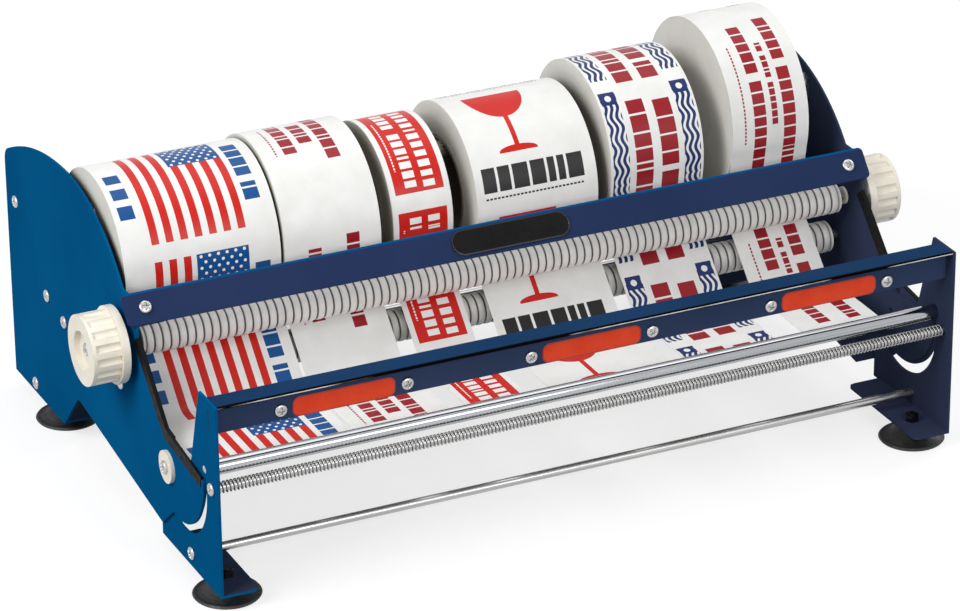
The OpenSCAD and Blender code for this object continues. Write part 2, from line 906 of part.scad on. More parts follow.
// Brace between the side plates under the rolls: a flat web with an end flange at each side plate
module stretcher() {
  lean = atan2(brace_rear_z - brace_front_z, brace_rear_d - brace_front_d);
  span = norm([brace_rear_d - brace_front_d, brace_rear_z - brace_front_z]);
  color(blue) {
    translate([-half_in + fit, brace_front_d - depth / 2, brace_front_z])
      rotate([lean, 0, 0])
        translate([0, -brace_r, brace_rise])
          cube([inner_w - 2 * fit, span + 2 * brace_r, plate_t]);
    both_sides()
      upright(half_in - fit - plate_t, plate_t)
        translate([brace_front_d, brace_front_z])
          rotate(lean)
            difference() {
              union() {
                translate([-brace_r, 0])
                  square([span + 2 * brace_r, brace_rise + plate_t / 2]);
                translate([0, -brace_r])
                  square([span, 2 * brace_r]);
                for (x = [0, span])
                  translate([x, 0])
                    circle(brace_r);
              }
              for (x = [0, span])
                translate([x, 0])
                  circle(shank_r + fit);
            }
  }
}

module stretcher_screws() {
  color(steel)
    both_sides()
      for (p = [[brace_front_d, brace_front_z], [brace_rear_d, brace_rear_z]])
        side_screw(half_out, p[0], p[1]);
}

// Ribbed sleeve, turned about its own axis
module ribbed_sleeve(d, z, bore_r) {
  ribs = floor((2 * roller_end - groove_w) / rib_pitch);
  from = (2 * roller_end - ribs * rib_pitch) / 2;
  translate([-roller_end, d - depth / 2, z])
    rotate([0, 90, 0])
      rotate_extrude()
        polygon(concat(
          [[bore_r, 0], [roller_r, 0]],
          [for (i = [0:ribs]) each let (y = from + i * rib_pitch) [
            [roller_r, y - groove_w / 2], [roller_r - groove_h, y - groove_w / 4],
            [roller_r - groove_h, y + groove_w / 4], [roller_r, y + groove_w / 2]]],
          [[roller_r, 2 * roller_end], [bore_r, 2 * roller_end]]));
}

module drive_roller() {
  color(paper)
    ribbed_sleeve(drive_d, drive_z, shaft_r + fit);
}

module guide_roller() {
  color(paper)
    ribbed_sleeve(guide_d, guide_z, shaft_r + run_fit);
}

// Shaft of the drive roller, drilled at both ends for the knobs' screws
module drive_shaft() {
  drilled_rod(drive_d, drive_z, shaft_r, knob_face);
}

module drive_bushes() {
  color(nylon)
    both_sides()
      difference() {
        union() {
          rod(drive_d, drive_z, bush_r, half_in - bush_flange_t, plate_t + bush_flange_t + bush_flange_t / 2);
          rod(drive_d, drive_z, bush_flange_r, half_out, bush_flange_t);
        }
        rod(drive_d, drive_z, shaft_r + run_fit, half_in - 2 * bush_flange_t, plate_t + 4 * bush_flange_t);
      }
}

// Fluted knob with a dished face
module knob() {
  color(nylon)
    translate([knob_base, drive_d - depth / 2, drive_z])
      rotate([0, 90, 0])
        difference() {
          union() {
            cylinder(h = knob_flange_t, r = knob_flange_r);
            difference() {
              cylinder(h = knob_l, r = knob_r);
              for (i = [0:flutes - 1])
                rotate(i * 360 / flutes)
                  translate([knob_r + flute_r * 0.35, 0, knob_flange_t])
                    cylinder(h = knob_l - knob_flange_t * 1.5, r = flute_r);
            }
          }
          translate([0, 0, knob_l - dish_h + fit])
            cylinder(h = dish_h, r = dish_r);
          translate([0, 0, -eps])
            cylinder(h = knob_l, r = shaft_r + fit);
        }
}

module knob_right() {
  knob();
}

module knob_left() {
  mirror([1, 0, 0])
    knob();
}

module knob_screws() {
  color(steel)
    both_sides()
      side_screw(knob_face + fit, drive_d, drive_z);
}

// Fixed axle that the guide roller turns on
module guide_axle() {
  drilled_rod(guide_d, guide_z, shaft_r, half_in);
}

module guide_screws() {
  color(steel)
    both_sides()
      side_screw(half_out, guide_d, guide_z);
}

// Flared rubber foot under a flange
module foot(x, d) {
  color("#151515")
    translate([x, d - depth / 2, 0])
      rotate_extrude()
        polygon(concat(
          [[stud_r + fit, foot_h], [stud_r + fit, foot_h / 2], [0, foot_h / 2], [0, 0], [foot_r - 1, 0]],
          [[foot_r, foot_rim / 2], [foot_r - 1, foot_rim]],
          [for (i = [1:5]) let (s = i / 5)
            [foot_r - 1 - (foot_r - 1 - foot_neck_r) * s, foot_rim + (foot_h - foot_rim - 2) * pow(s, 2)]],
          [[foot_neck_r, foot_h]]));
}

module foot_front_left() {
  foot(-half_in + foot_in + plate_t, foot_front_d);
}

module foot_front_right() {
  foot(half_in - foot_in - plate_t, foot_front_d);
}

module foot_rear_left() {
  foot(-half_in + foot_in, foot_rear_d);
}

module foot_rear_right() {
  foot(half_in - foot_in, foot_rear_d);
}

// Studs of the feet, each with a hexagon nut on its flange
module foot_studs() {
  color(steel)
    both_sides()
      for (p = [[half_in - foot_in - plate_t, foot_front_d], [half_in - foot_in, foot_rear_d]])
        translate([p[0], p[1] - depth / 2, foot_h / 2]) {
          cylinder(h = foot_h / 2 + plate_t + nut_h + 1, r = stud_r);
          translate([0, 0, foot_h / 2 + plate_t])
            cylinder(h = nut_h, r = nut_r, $fn = 6);
        }
}

// Card core of roll k
module core(k) {
  color(card)
    tube(k, core_r[k] + core_wall, core_r[k]);
}

// Wound label tape of roll k
module roll(k) {
  color(paper)
    tube(k, roll_r[k], core_r[k] + core_wall + fit);
}

// Ring about the axis of roll k, as wide as the roll
module tube(k, outer, inner) {
  difference() {
    rod(spindle_d, roll_z(k), outer, roll_x(k), roll_w[k]);
    rod(spindle_d, roll_z(k), inner, roll_x(k) - 1, roll_w[k] + 2);
  }
}

// Middle line of the tape drawn from roll k: off the roll's front, down behind the drive roller,
// steeply forwards in front of the guide roller, round the bend and level to the peel bar
function tape_path(k) =
  let (
    roll_c = [spindle_d, roll_z(k)],
    drive_c = [drive_d, drive_z],
    off_r = roll_r[k] + tape_gap + tape_t / 2,
    reach = drive_c - roll_c,
    leave_a = atan2(reach[1], reach[0]) - acos((off_r + tape_r) / norm(reach)) + 360,
    bend = drive_c + tape_r * [cos(-45), sin(-45)] + drop_l * [cos(225), sin(225)],
    bend_in = bend_r * tan(22.5),
    bend_c = bend + [-bend_in, bend_r],
    lift_r = (pow(lift_l, 2) + pow(lift_h, 2)) / (2 * lift_h),
    lift_a = asin(lift_l / lift_r)
  )
    concat(
      arc(roll_c, off_r, leave_a - 12, leave_a, 3),
      arc(drive_c, tape_r, leave_a - 180, -45, 6),
      arc(bend_c, bend_r, -45, -90, 6),
      arc([tape_end_d + lift_l, bend[1] + lift_r], lift_r, -90, -90 - lift_a, 5));

// Drawn-out tape of roll k
module web(k) {
  path = tape_path(k);
  n = len(path);
  dirs = [for (i = [0:n - 1]) unit(path[min(i + 1, n - 1)] - path[max(i - 1, 0)])];
  side = [for (d = dirs) [-d[1], d[0]] * tape_t / 2];
  color(paper)
    upright(roll_x(k) + 0.5, roll_w[k] - 1)
      polygon(concat(
        [for (i = [0:n - 1]) path[i] + side[i]],
        [for (i = [n - 1:-1:0]) path[i] - side[i]]));
}

side_plate_left();
side_plate_right();
edge_trim_left();
edge_trim_right();
front_plate_left();
front_plate_right();
crossbar();
crossbar_screws();
badge_plate();
front_rail();
cutter_blade();
guard_strip();
guard_screws();
red_markers();
peel_bar();
spring_rod();
contact_spring();
rod_screws();
lower_front_rod();
lower_rear_rod();
upper_rear_rod();
clamp_washers();
clamp_screws();
spindle();
spindle_bracket_left();
spindle_bracket_right();
stretcher();
stretcher_screws();
drive_shaft();
drive_roller();
drive_bushes();
knob_left();
knob_right();
knob_screws();
guide_axle();
guide_roller();
guide_screws();
foot_front_left();
foot_front_right();
foot_rear_left();
foot_rear_right();
foot_studs();
for (k = [0:5]) {
  core(k);
  roll(k);
  web(k);
}
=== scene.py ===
"""Looks of the six-roll label dispenser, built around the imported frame. Metres, Z up, front towards -Y."""
import json
import math
import bpy
from mathutils import Matrix, Vector


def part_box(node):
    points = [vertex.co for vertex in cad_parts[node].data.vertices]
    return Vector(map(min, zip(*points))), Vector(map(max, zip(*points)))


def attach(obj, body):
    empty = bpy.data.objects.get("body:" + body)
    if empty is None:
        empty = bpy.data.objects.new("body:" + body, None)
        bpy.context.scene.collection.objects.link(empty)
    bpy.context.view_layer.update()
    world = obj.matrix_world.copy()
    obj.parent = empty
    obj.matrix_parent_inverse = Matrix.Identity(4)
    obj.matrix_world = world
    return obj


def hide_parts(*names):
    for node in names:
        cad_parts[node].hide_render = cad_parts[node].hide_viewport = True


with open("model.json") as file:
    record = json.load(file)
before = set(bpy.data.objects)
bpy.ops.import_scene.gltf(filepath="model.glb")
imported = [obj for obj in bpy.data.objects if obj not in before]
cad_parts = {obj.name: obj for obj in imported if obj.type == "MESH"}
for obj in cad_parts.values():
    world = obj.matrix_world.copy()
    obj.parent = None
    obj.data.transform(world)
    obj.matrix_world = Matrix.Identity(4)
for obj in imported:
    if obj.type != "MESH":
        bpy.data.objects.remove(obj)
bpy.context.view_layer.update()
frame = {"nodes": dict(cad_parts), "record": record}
nodes = frame["nodes"]
scene = bpy.context.scene

# Places and sizes, from the solids where these show them

def middle(node):
    lo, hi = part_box(node)
    return (lo + hi) / 2


def radius_of(node):
    """Outer radius of a round node that lies along X."""
    lo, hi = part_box(node)
    return (hi.z - lo.z) / 2


SIDES = (-1, 1)
AIR = 0.00005  # between pieces that fit into each other
HEAD_R, HEAD_H = 0.005, 0.0028  # of every screw
PLATE_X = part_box("side_plate_right")[1].x  # outside of the side plates
FRONT_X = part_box("front_plate_right")[1].x  # outside of the front plates
DRIVE_YZ = middle("drive_roller").yz
GUIDE_YZ = middle("guide_roller").yz
SPINDLE_Y = middle("spindle").y
ROLLER_R = radius_of("drive_roller")
ROLLER_BORE_R = 0.0042
BAR_TILT = math.radians(50)
BAR_UP = Vector((0, math.cos(BAR_TILT), math.sin(BAR_TILT)))
BAR_OUT = Vector((0, -math.sin(BAR_TILT), math.cos(BAR_TILT)))
BAR_FACE = Vector((0, -0.058, 0.178))  # middle of the crossbar's outer face
TAPE_T = 0.0003
TAPE_R = 0.013  # of a tape's middle line on the drive roller
TAPE_LIFT = 0.0005  # of a tape's middle line over its roll


# Colours and node graphs

def lin(r, g, b):
    """sRGB bytes to a linear colour."""
    def one(c):
        c = c / 255.0
        return c / 12.92 if c <= 0.04045 else ((c + 0.055) / 1.055) ** 2.4
    return (one(r), one(g), one(b), 1.0)


class Graph:
    """A short way to write a material's node graph."""

    def __init__(self, name):
        self.mat = bpy.data.materials.new(name)
        self.mat.use_nodes = True
        self.tree = self.mat.node_tree
        self.bsdf = self.tree.nodes["Principled BSDF"]

    def node(self, kind, **props):
        n = self.tree.nodes.new(kind)
        for k, v in props.items():
            setattr(n, k, v)
        return n

    def feed(self, socket, value):
        if isinstance(value, bpy.types.NodeSocket):
            self.tree.links.new(value, socket)
        else:
            socket.default_value = value

    def math(self, op, a, b=0.0, c=0.0):
        n = self.node("ShaderNodeMath", operation=op)
        self.feed(n.inputs[0], a)
        self.feed(n.inputs[1], b)
        self.feed(n.inputs[2], c)
        return n.outputs[0]

    def add(self, a, b):
        return self.math("ADD", a, b)

    def sub(self, a, b):
        return self.math("SUBTRACT", a, b)

    def mul(self, a, b):
        return self.math("MULTIPLY", a, b)

    def squares(self, a, b):
        return self.add(self.mul(a, a), self.mul(b, b))

    def most(self, *vals):
        out = vals[0]
        for v in vals[1:]:
            out = self.math("MAXIMUM", out, v)
        return out

    def band(self, a, centre, half):
        """1 where a is within half of centre."""
        return self.math("COMPARE", a, centre, half)

    def under(self, a, b):
        return self.math("LESS_THAN", a, b)

    def over(self, a, b):
        return self.math("GREATER_THAN", a, b)

    def wrap(self, a, period):
        return self.math("FLOORED_MODULO", a, period)

    def smooth(self, a, low, high, to_low=0.0, to_high=1.0):
        n = self.node("ShaderNodeMapRange", clamp=True)
        self.feed(n.inputs["Value"], a)
        n.inputs["From Min"].default_value = low
        n.inputs["From Max"].default_value = high
        n.inputs["To Min"].default_value = to_low
        n.inputs["To Max"].default_value = to_high
        return n.outputs["Result"]

    def mix(self, fac, a, b):
        n = self.node("ShaderNodeMix", data_type="RGBA")
        self.feed(n.inputs["Factor"], fac)
        self.feed(n.inputs[6], a)
        self.feed(n.inputs[7], b)
        return n.outputs[2]

    def coords(self):
        return self.node("ShaderNodeTexCoord").outputs["Object"]

    def normal(self):
        return self.node("ShaderNodeTexCoord").outputs["Normal"]

    def scaled(self, vec, sx, sy, sz):
        n = self.node("ShaderNodeMapping")
        self.feed(n.inputs["Vector"], vec)
        n.inputs["Scale"].default_value = (sx, sy, sz)
        return n.outputs["Vector"]

    def split(self, vec):
        n = self.node("ShaderNodeSeparateXYZ")
        self.feed(n.inputs[0], vec)
        return n.outputs[0], n.outputs[1], n.outputs[2]

    def noise(self, vec, scale, detail=3.0, rough=0.55):
        n = self.node("ShaderNodeTexNoise")
        self.feed(n.inputs["Vector"], vec)
        n.inputs["Scale"].default_value = scale
        n.inputs["Detail"].default_value = detail
        n.inputs["Roughness"].default_value = rough
        return n.outputs["Fac"]

    def bump(self, height, strength, distance, round_edges=0.0):
        n = self.node("ShaderNodeBump")
        n.inputs["Strength"].default_value = strength
        n.inputs["Distance"].default_value = distance
        self.feed(n.inputs["Height"], height)
        if round_edges:
            b = self.node("ShaderNodeBevel", samples=4)
            b.inputs["Radius"].default_value = round_edges
            self.tree.links.new(b.outputs["Normal"], n.inputs["Normal"])
        self.tree.links.new(n.outputs["Normal"], self.bsdf.inputs["Normal"])

    def colour(self, value):
        self.feed(self.bsdf.inputs["Base Color"], value)

    def rough(self, value):
        self.feed(self.bsdf.inputs["Roughness"], value)

    def set(self, **vals):
        for k, v in vals.items():
            self.bsdf.inputs[k.replace("_", " ")].default_value = v


def solid(name, main, second, scale, rough, bump=(0.1, 0.0002, 900.0), edges=0.0, **vals):
    """A material whose colour and roughness wander a little; bump is (strength, distance, scale)."""
    g = Graph(name)
    vec = g.coords()
    cloud = g.noise(vec, scale, 4.0)
    g.colour(g.mix(g.smooth(cloud, 0.35, 0.65), main, second))
    g.rough(g.smooth(g.noise(vec, scale * 3.1, 3.0), 0.3, 0.7, *rough))
    g.bump(g.noise(vec, bump[2], 2.0), bump[0], bump[1], edges)
    g.set(**vals)
    return g.mat


def streaked(name, main, second, rough, along=(4.0, 600.0, 600.0)):
    """Metal with fine streaks along one direction."""
    g = Graph(name)
    vec = g.coords()
    streak = g.noise(g.scaled(vec, *along), 1.0, 4.0)
    cloud = g.noise(vec, 30.0, 3.0)
    g.colour(g.mix(g.smooth(streak, 0.3, 0.7), main, second))
    g.rough(g.smooth(g.mul(streak, cloud), 0.1, 0.4, *rough))
    g.bump(streak, 0.08, 0.0001)
    g.set(Metallic=1.0)
    return g.mat


# Enamel. The photograph shows it with next to no sheen

FACING = 0.5  # a face looks along an axis where its normal's share of it passes this


def enamel_graph(name):
    """The graph, its coordinates and a slow cloud for the colour."""
    g = Graph(name)
    vec = g.coords()
    return g, vec, g.smooth(g.noise(vec, 9.0, 4.0), 0.35, 0.65)


def finish_enamel(g, vec, colour, rough, edges, sheen):
    g.colour(colour)
    g.rough(g.smooth(g.noise(vec, 28.0, 3.0), 0.3, 0.7, *rough))
    g.bump(g.noise(vec, 420.0, 2.0), 0.12, 0.00012, edges)
    g.set(Specular_IOR_Level=sheen)
    return g.mat


def plate_enamel():
    """Blue; faces towards the middle, foot flanges and the right-hand plates' edges get a dark navy that is
    painted shade.
    """
    flange_reach = 0.013
    g, vec, cloud = enamel_graph("blue_enamel")
    x, _, z = g.split(vec)
    nx, _, nz = g.split(g.normal())
    # Painted shade: faces that look inwards, the right-hand plates' edges and the foot flanges' tops are
    # picked by their normals.
    inward_shade = g.under(g.mul(nx, g.math("SIGN", x)), -FACING)
    right_shade = g.mul(g.over(x, 0.0), g.under(nx, FACING))
    flange = g.mul(g.over(nz, FACING), g.under(z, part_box("side_plate_right")[0].z + flange_reach))
    outside = g.mix(cloud, lin(4, 84, 134), lin(7, 91, 142))
    # The dark navy of the painted shade.
    inside = g.mix(cloud, lin(50, 58, 82), lin(55, 63, 88))
    colour = g.mix(g.most(inward_shade, right_shade, flange), outside, inside)
    return finish_enamel(g, vec, colour, (0.3, 0.42), 0.0005, 0.0)


def rail_enamel():
    """Blue; the front edge of the rail's top flange and its bend are black, partly a dark cut edge and
    partly painted shade of the slot under it, with painted glints.
    """
    bend_width, edge_height, glint_depth, glint_half = 0.0016, 0.0022, 0.0013, 0.0004
    lo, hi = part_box("front_rail")
    g, vec, cloud = enamel_graph("rail_enamel")
    _, y, z = g.split(vec)
    _, ny, nz = g.split(g.normal())
    # Painted shade: the black on the flange's front edge and on the front of its top face.
    bend = g.mul(g.over(nz, FACING), g.under(y, lo.y + bend_width))
    edge = g.mul(g.most(g.under(ny, -FACING), bend), g.over(z, hi.z - edge_height))
    # Painted glints: pale patches in a thin band along the black edge.
    glint_patches = g.smooth(g.noise(g.scaled(vec, 11.0, 1.0, 1.0), 1.0, 3.0), 0.5, 0.58)
    painted_glints = g.mul(glint_patches, g.band(z, hi.z - glint_depth, glint_half))
    paint = g.mix(cloud, lin(21, 52, 87), lin(26, 57, 94))
    colour = g.mix(edge, paint, g.mix(painted_glints, lin(9, 9, 11), lin(222, 224, 226)))
    return finish_enamel(g, vec, colour, (0.26, 0.38), 0.0003, 0.004)


def bar_enamel():
    """Navy, a darker copy of the plates' blue that is partly painted shade; the rounding of the crossbar's
    upper edge shows the plates' blue as a painted highlight.
    """
    rounding = 0.0015
    g, vec, cloud = enamel_graph("bar_enamel")
    _, y, z = g.split(vec)
    top = max(v.co.dot(BAR_UP) for v in nodes["crossbar"].data.vertices)
    # Painted highlight: the lit upper rounding keeps the blue.
    upper = g.over(g.add(g.mul(y, BAR_UP.y), g.mul(z, BAR_UP.z)), top - rounding)
    # The navy is partly painted shade on the bar's faces.
    paint = g.mix(cloud, lin(37, 51, 86), lin(42, 56, 92))
    return finish_enamel(g, vec, g.mix(upper, paint, lin(3, 84, 138)), (0.26, 0.38), 0.0003, 0.003)


blue = plate_enamel()
bar_blue = bar_enamel()
rail_blue = rail_enamel()
# Navy for the guard strip and stretcher: a darker copy of the blue, partly painted shade on their faces.
navy = solid("navy_enamel", lin(51, 65, 96), lin(56, 70, 102), 9.0, (0.26, 0.38),
             bump=(0.12, 0.00012, 420.0), edges=0.0005, Specular_IOR_Level=0.003)

# Metals, plastics and card

zinc = streaked("zinc_plate", lin(196, 196, 194), lin(164, 165, 166), (0.2, 0.38))
chrome = streaked("chrome", lin(186, 188, 190), lin(152, 154, 158), (0.06, 0.16))
blade_steel = streaked("blade_steel", lin(186, 188, 192), lin(150, 152, 156), (0.22, 0.4),
                       along=(600.0, 40.0, 8.0))
spring_steel = streaked("spring_steel", lin(184, 184, 182), lin(150, 150, 150), (0.2, 0.36),
                        along=(300.0, 300.0, 300.0))
dark_steel = streaked("dark_steel", lin(58, 58, 62), lin(38, 38, 42), (0.3, 0.5))
rim = streaked("badge_rim", lin(66, 66, 70), lin(46, 46, 50), (0.26, 0.42))
nylon = solid("ivory_nylon", lin(240, 235, 222), lin(232, 226, 210), 40.0, (0.34, 0.5),
              bump=(0.12, 0.0002, 260.0), edges=0.0006, Subsurface_Weight=0.06, Subsurface_Scale=0.004)
rubber = solid("black_rubber", lin(16, 16, 17), lin(28, 28, 29), 70.0, (0.45, 0.7),
               bump=(0.2, 0.0003, 500.0))
edging = solid("edge_rubber", lin(8, 8, 9), lin(14, 14, 15), 70.0, (0.5, 0.7),
               bump=(0.2, 0.0003, 500.0), Specular_IOR_Level=0.1)
black = solid("badge_black", lin(6, 6, 8), lin(12, 12, 14), 60.0, (0.2, 0.34),
              bump=(0.05, 0.0001, 700.0), Specular_IOR_Level=0.15)
red = solid("marker_red", lin(238, 68, 36), lin(243, 78, 44), 60.0, (0.3, 0.46),
            bump=(0.06, 0.0001, 600.0), Specular_IOR_Level=0.15)
red_edge = solid("marker_edge", lin(170, 40, 26), lin(184, 46, 30), 60.0, (0.3, 0.45),
                 bump=(0.06, 0.0001, 600.0))
paper_back = solid("tape_back", lin(232, 230, 224), lin(222, 219, 212), 45.0, (0.4, 0.55),
                   bump=(0.06, 0.0001, 700.0))


def card_material():
    """Grey-brown card tube with fibres and a slanting winding seam; the tone is darker and greyer than the
    card, as painted shade for the bores.
    """
    axis_z, slant, seam_pitch = 0.185, 6.0, 38.0  # the last two in millimetres
    g = Graph("card")
    vec = g.coords()
    x, y, z = g.split(vec)
    fibre = g.noise(g.scaled(vec, 180.0, 900.0, 900.0), 1.0, 5.0, 0.7)
    angle = g.math("ARCTAN2", g.sub(y, SPINDLE_Y), g.sub(z, axis_z))
    turn = g.wrap(g.add(g.mul(x, 1000.0), g.mul(angle, slant)), seam_pitch)
    seam = g.band(turn, 0.4, 0.35)
    # Darkened towards grey: partly the card's tone, partly painted shade inside the bores.
    tone = g.mix(g.smooth(fibre, 0.3, 0.7), lin(120, 108, 94), lin(150, 137, 120))
    g.colour(g.mix(seam, tone, lin(84, 74, 62)))
    g.rough(g.smooth(fibre, 0.3, 0.7, 0.7, 0.9))
    g.bump(fibre, 0.25, 0.0003)
    return g.mat


def roller_material(name, centre):
    """Pale rings whose grooves get painted shade, told apart by the distance from the roller's axis."""
    groove_depth, crown_depth = 0.0013, 0.0004
    g = Graph(name)
    vec = g.coords()
    _, y, z = g.split(vec)
    r = g.math("SQRT", g.squares(g.sub(y, centre[0]), g.sub(z, centre[1])))
    # Painted shade: darker towards the bottom of each groove.
    groove_shade = g.smooth(r, ROLLER_R - groove_depth, ROLLER_R - crown_depth, 1.0, 0.0)
    cloud = g.noise(vec, 90.0, 4.0)
    tone = g.mix(g.smooth(cloud, 0.35, 0.65), lin(238, 237, 234), lin(226, 224, 220))
    g.colour(g.mix(groove_shade, tone, lin(84, 81, 81)))
    g.rough(g.smooth(cloud, 0.3, 0.7, 0.42, 0.6))
    g.bump(g.noise(vec, 500.0, 2.0), 0.1, 0.0002)
    return g.mat


card = card_material()


# Prints: plain blocks, bars and signs. In millimetres, u is across the tape, v along it, p in one period

INK_RED = lin(202, 28, 16)
INK_DARK = lin(150, 22, 34)
INK_NAVY = lin(20, 42, 100)
INK_BLUE = lin(4, 76, 140)
INK_BLACK = lin(18, 17, 19)
PAPER = lin(241, 241, 239)


def tape_graph(name, period):
    """The graph, the place across the tape, the place along it and the place in the print's period."""
    g = Graph(name)
    a = g.node("ShaderNodeAttribute", attribute_name="tape")
    u, v, _ = g.split(a.outputs["Vector"])
    return g, u, v, g.wrap(v, period)


def between(g, a, low, high):
    return g.band(a, (low + high) / 2, (high - low) / 2)


def block(g, u, v, u0, u1, v0, v1):
    return g.mul(between(g, u, u0, u1), between(g, v, v0, v1))


def dashes(g, u, v, u0, u1, v0, v1, pitch):
    """A bar cut into short equal blocks along u."""
    inked_share = 0.7
    cut = g.under(g.wrap(g.sub(u, u0), pitch), pitch * inked_share)
    return g.mul(block(g, u, v, u0, u1, v0, v1), cut)


def row(g, a, b, a0, b0, b1, widths, gap=1.5):
    """Blocks of the given widths, one after the other along a; a negative width is a blank."""
    out = 0.0
    for w in widths:
        if w > 0:
            out = g.add(out, g.band(a, a0 + w / 2, w / 2))
        a0 += abs(w) + gap
    return g.mul(out, between(g, b, b0, b1))


def finish_tape(g, layers):
    """Puts ink layers on pale paper; ink is a little glossier than paper."""
    vec = g.coords()
    cloud = g.noise(vec, 45.0, 4.0)
    fine = g.noise(vec, 700.0, 2.0)
    out = g.mix(g.smooth(cloud, 0.35, 0.65), PAPER, lin(233, 233, 230))
    for mask, ink in layers:
        out = g.mix(mask, out, ink)
    inked = g.most(*(mask for mask, _ in layers))
    g.colour(out)
    g.rough(g.smooth(g.sub(cloud, g.mul(inked, 0.15)), 0.2, 0.7, 0.3, 0.46))
    g.bump(fine, 0.05, 0.0001)
    g.set(Specular_IOR_Level=0.3)
    return g.mat


def print_stripes():
    """Stripes along the tape with a field of dots, between two rows of blue blocks."""
    start, left, field_left, right = 5.0, 24.0, 57.0, 98.4
    stripe_pitch, stripe_width = 11.4, 6.0
    dot_u, dot_v, dot_r2 = 6.9, 4.5, 1.5
    g, u, _, p = tape_graph("tape_stripes", 107.0)
    in_stripe = g.under(g.wrap(g.sub(u, left), stripe_pitch), stripe_width)
    stripe = g.mul(block(g, u, p, left, right, start, 99), in_stripe)
    field = block(g, u, p, field_left, right, start, 36.5)
    line = g.math("FLOOR", g.mul(g.sub(p, start), 1 / dot_v))
    shifted = g.add(g.sub(u, field_left), g.mul(g.wrap(line, 2.0), dot_u / 2))
    du = g.sub(g.wrap(shifted, dot_u), dot_u / 2)
    dv = g.sub(g.wrap(g.sub(p, start), dot_v), dot_v / 2)
    whole = block(g, u, p, 58.5, 97.0, 6, 35.5)
    dot = g.mul(g.under(g.squares(du, dv), dot_r2), whole)
    side = g.most(row(g, p, u, 20, 103, 115, (9, 8, 9, 8, -3, 4, 9)),
                  row(g, p, u, 34, 5, 17, (10, -3, 10, -3, 11)))
    dots = g.mul(field, dot)
    return finish_tape(g, [(stripe, INK_RED), (field, INK_BLUE), (dots, PAPER), (side, INK_BLUE)])


def print_lines():
    """Three rows of dark red blocks along the tape."""
    g, u, _, p = tape_graph("tape_lines", 124.0)
    rows = g.most(row(g, p, u, 6, 50, 60.5, (8, 9, 8, 9, 3, 9, 9)),
                  row(g, p, u, 20, 34.5, 45, (8, 7, 3, 8)),
                  row(g, p, u, 13, 19, 29.5, (3, 9, 8, 3, 9, 7)),
                  dashes(g, p, u, 20, 60, 12, 13.4, 3.0))
    return finish_tape(g, [(rows, INK_DARK)])


def print_panels():
    """Red panels with pale rows of blocks along the tape."""
    g, u, _, p = tape_graph("tape_panels", 104.0)
    panel = block(g, u, p, 5, 45, 2, 92)
    rows = g.most(row(g, p, u, 7, 29, 38.5, (5, 4.5, 5, 5, 2, 5.5, 5, 5, 5.5, 4.5, 5), 3.0),
                  row(g, p, u, 7, 14, 23.5, (5, 5, 5, 5, -3, 5.5, 5, 5, 2, 5.5, 5.5, 5), 2.2),
                  dashes(g, p, u, 24, 74, 8.6, 9.8, 2.6))
    return finish_tape(g, [(panel, INK_RED), (rows, PAPER)])


def print_goblet():
    """A plain goblet sign over a broad dark row of blocks."""
    centre, bowl_top, foot_v = 42.0, 8.0, 69.0
    g, u, _, p = tape_graph("tape_goblet", 110.0)
    du = g.sub(u, centre)

    def oval(v0, half_u, half_v):
        return g.under(g.squares(g.mul(du, 1.0 / half_u), g.mul(g.sub(p, v0), 1.0 / half_v)), 1.0)

    bowl = g.mul(oval(bowl_top, 24.0, 31.0), g.over(p, bowl_top))
    stem = block(g, u, p, centre - 2, centre + 2, 36, 66)
    foot = g.mul(oval(foot_v, 16.0, 4.6), g.under(p, foot_v + 0.8))
    bar = row(g, u, p, 7, 79, 98, (11, 10, 13, 12, 6, 6, 13), 2.2)
    low = dashes(g, u, p, 8, 90, 102, 103.4, 3.2)
    return finish_tape(g, [(g.most(bowl, stem, foot), INK_RED), (bar, INK_BLACK), (low, INK_BLACK)])


def print_waves():
    """Two edge bands of wavy navy lines that start at a dotted block, and two red rows along the tape."""
    wave_length, swing_by, line_pitch, line_width, dot_v, dot_r2 = 17.0, 1.5, 4.8, 2.7, 5.5, 7.0
    g, u, v, p = tape_graph("tape_waves", 96.0)
    swing = g.mul(g.math("SINE", g.mul(v, 2 * math.pi / wave_length)), swing_by)
    bands, dots = [], []
    for centre in (9.5, 70.5):
        du = g.sub(u, centre)
        in_line = g.under(g.wrap(g.add(du, g.add(swing, 7.0)), line_pitch), line_width)
        bands.append(g.mul(block(g, u, p, centre - 7, centre + 7, 0, 84), in_line))
        bands.append(block(g, u, p, centre - 6.5, centre + 6.5, 0, 11))
        dots.append(g.under(g.squares(du, g.sub(p, dot_v)), dot_r2))
    rows = g.most(row(g, p, u, 13, 44, 58.5, (14, 12, 12, 10, -2, 5, 12)),
                  row(g, p, u, 10, 22, 36.5, (11, 13, 10, 10, 4, 10, 11), 1.7))
    return finish_tape(g, [(g.most(*bands), INK_NAVY), (g.most(*dots), PAPER), (rows, INK_DARK)])


def print_columns():
    """Two long red rows of blocks along the tape with a small row between them."""
    g, u, _, p = tape_graph("tape_columns", 175.0)
    rows = g.most(row(g, p, u, 4, 45, 55.5, (10, 4, 8, 7, 8, -4, 10, 7, 8, 8, 8, 8, 8, 8, 4, 7), 1.4),
                  row(g, p, u, 30, 35, 40, (2, 5, -2, 4, 5, 2, 4, -2, 4, 5, 4, 5, 5, 5), 1.0),
                  row(g, p, u, 10, 19.5, 30, (8, 8, 7, 8, 8, -4, 8, 8, 8, 7, 7, 8, 7, 7, 8), 1.4),
                  dashes(g, p, u, 30, 110, 11, 12.4, 3.0))
    return finish_tape(g, [(rows, INK_DARK)])


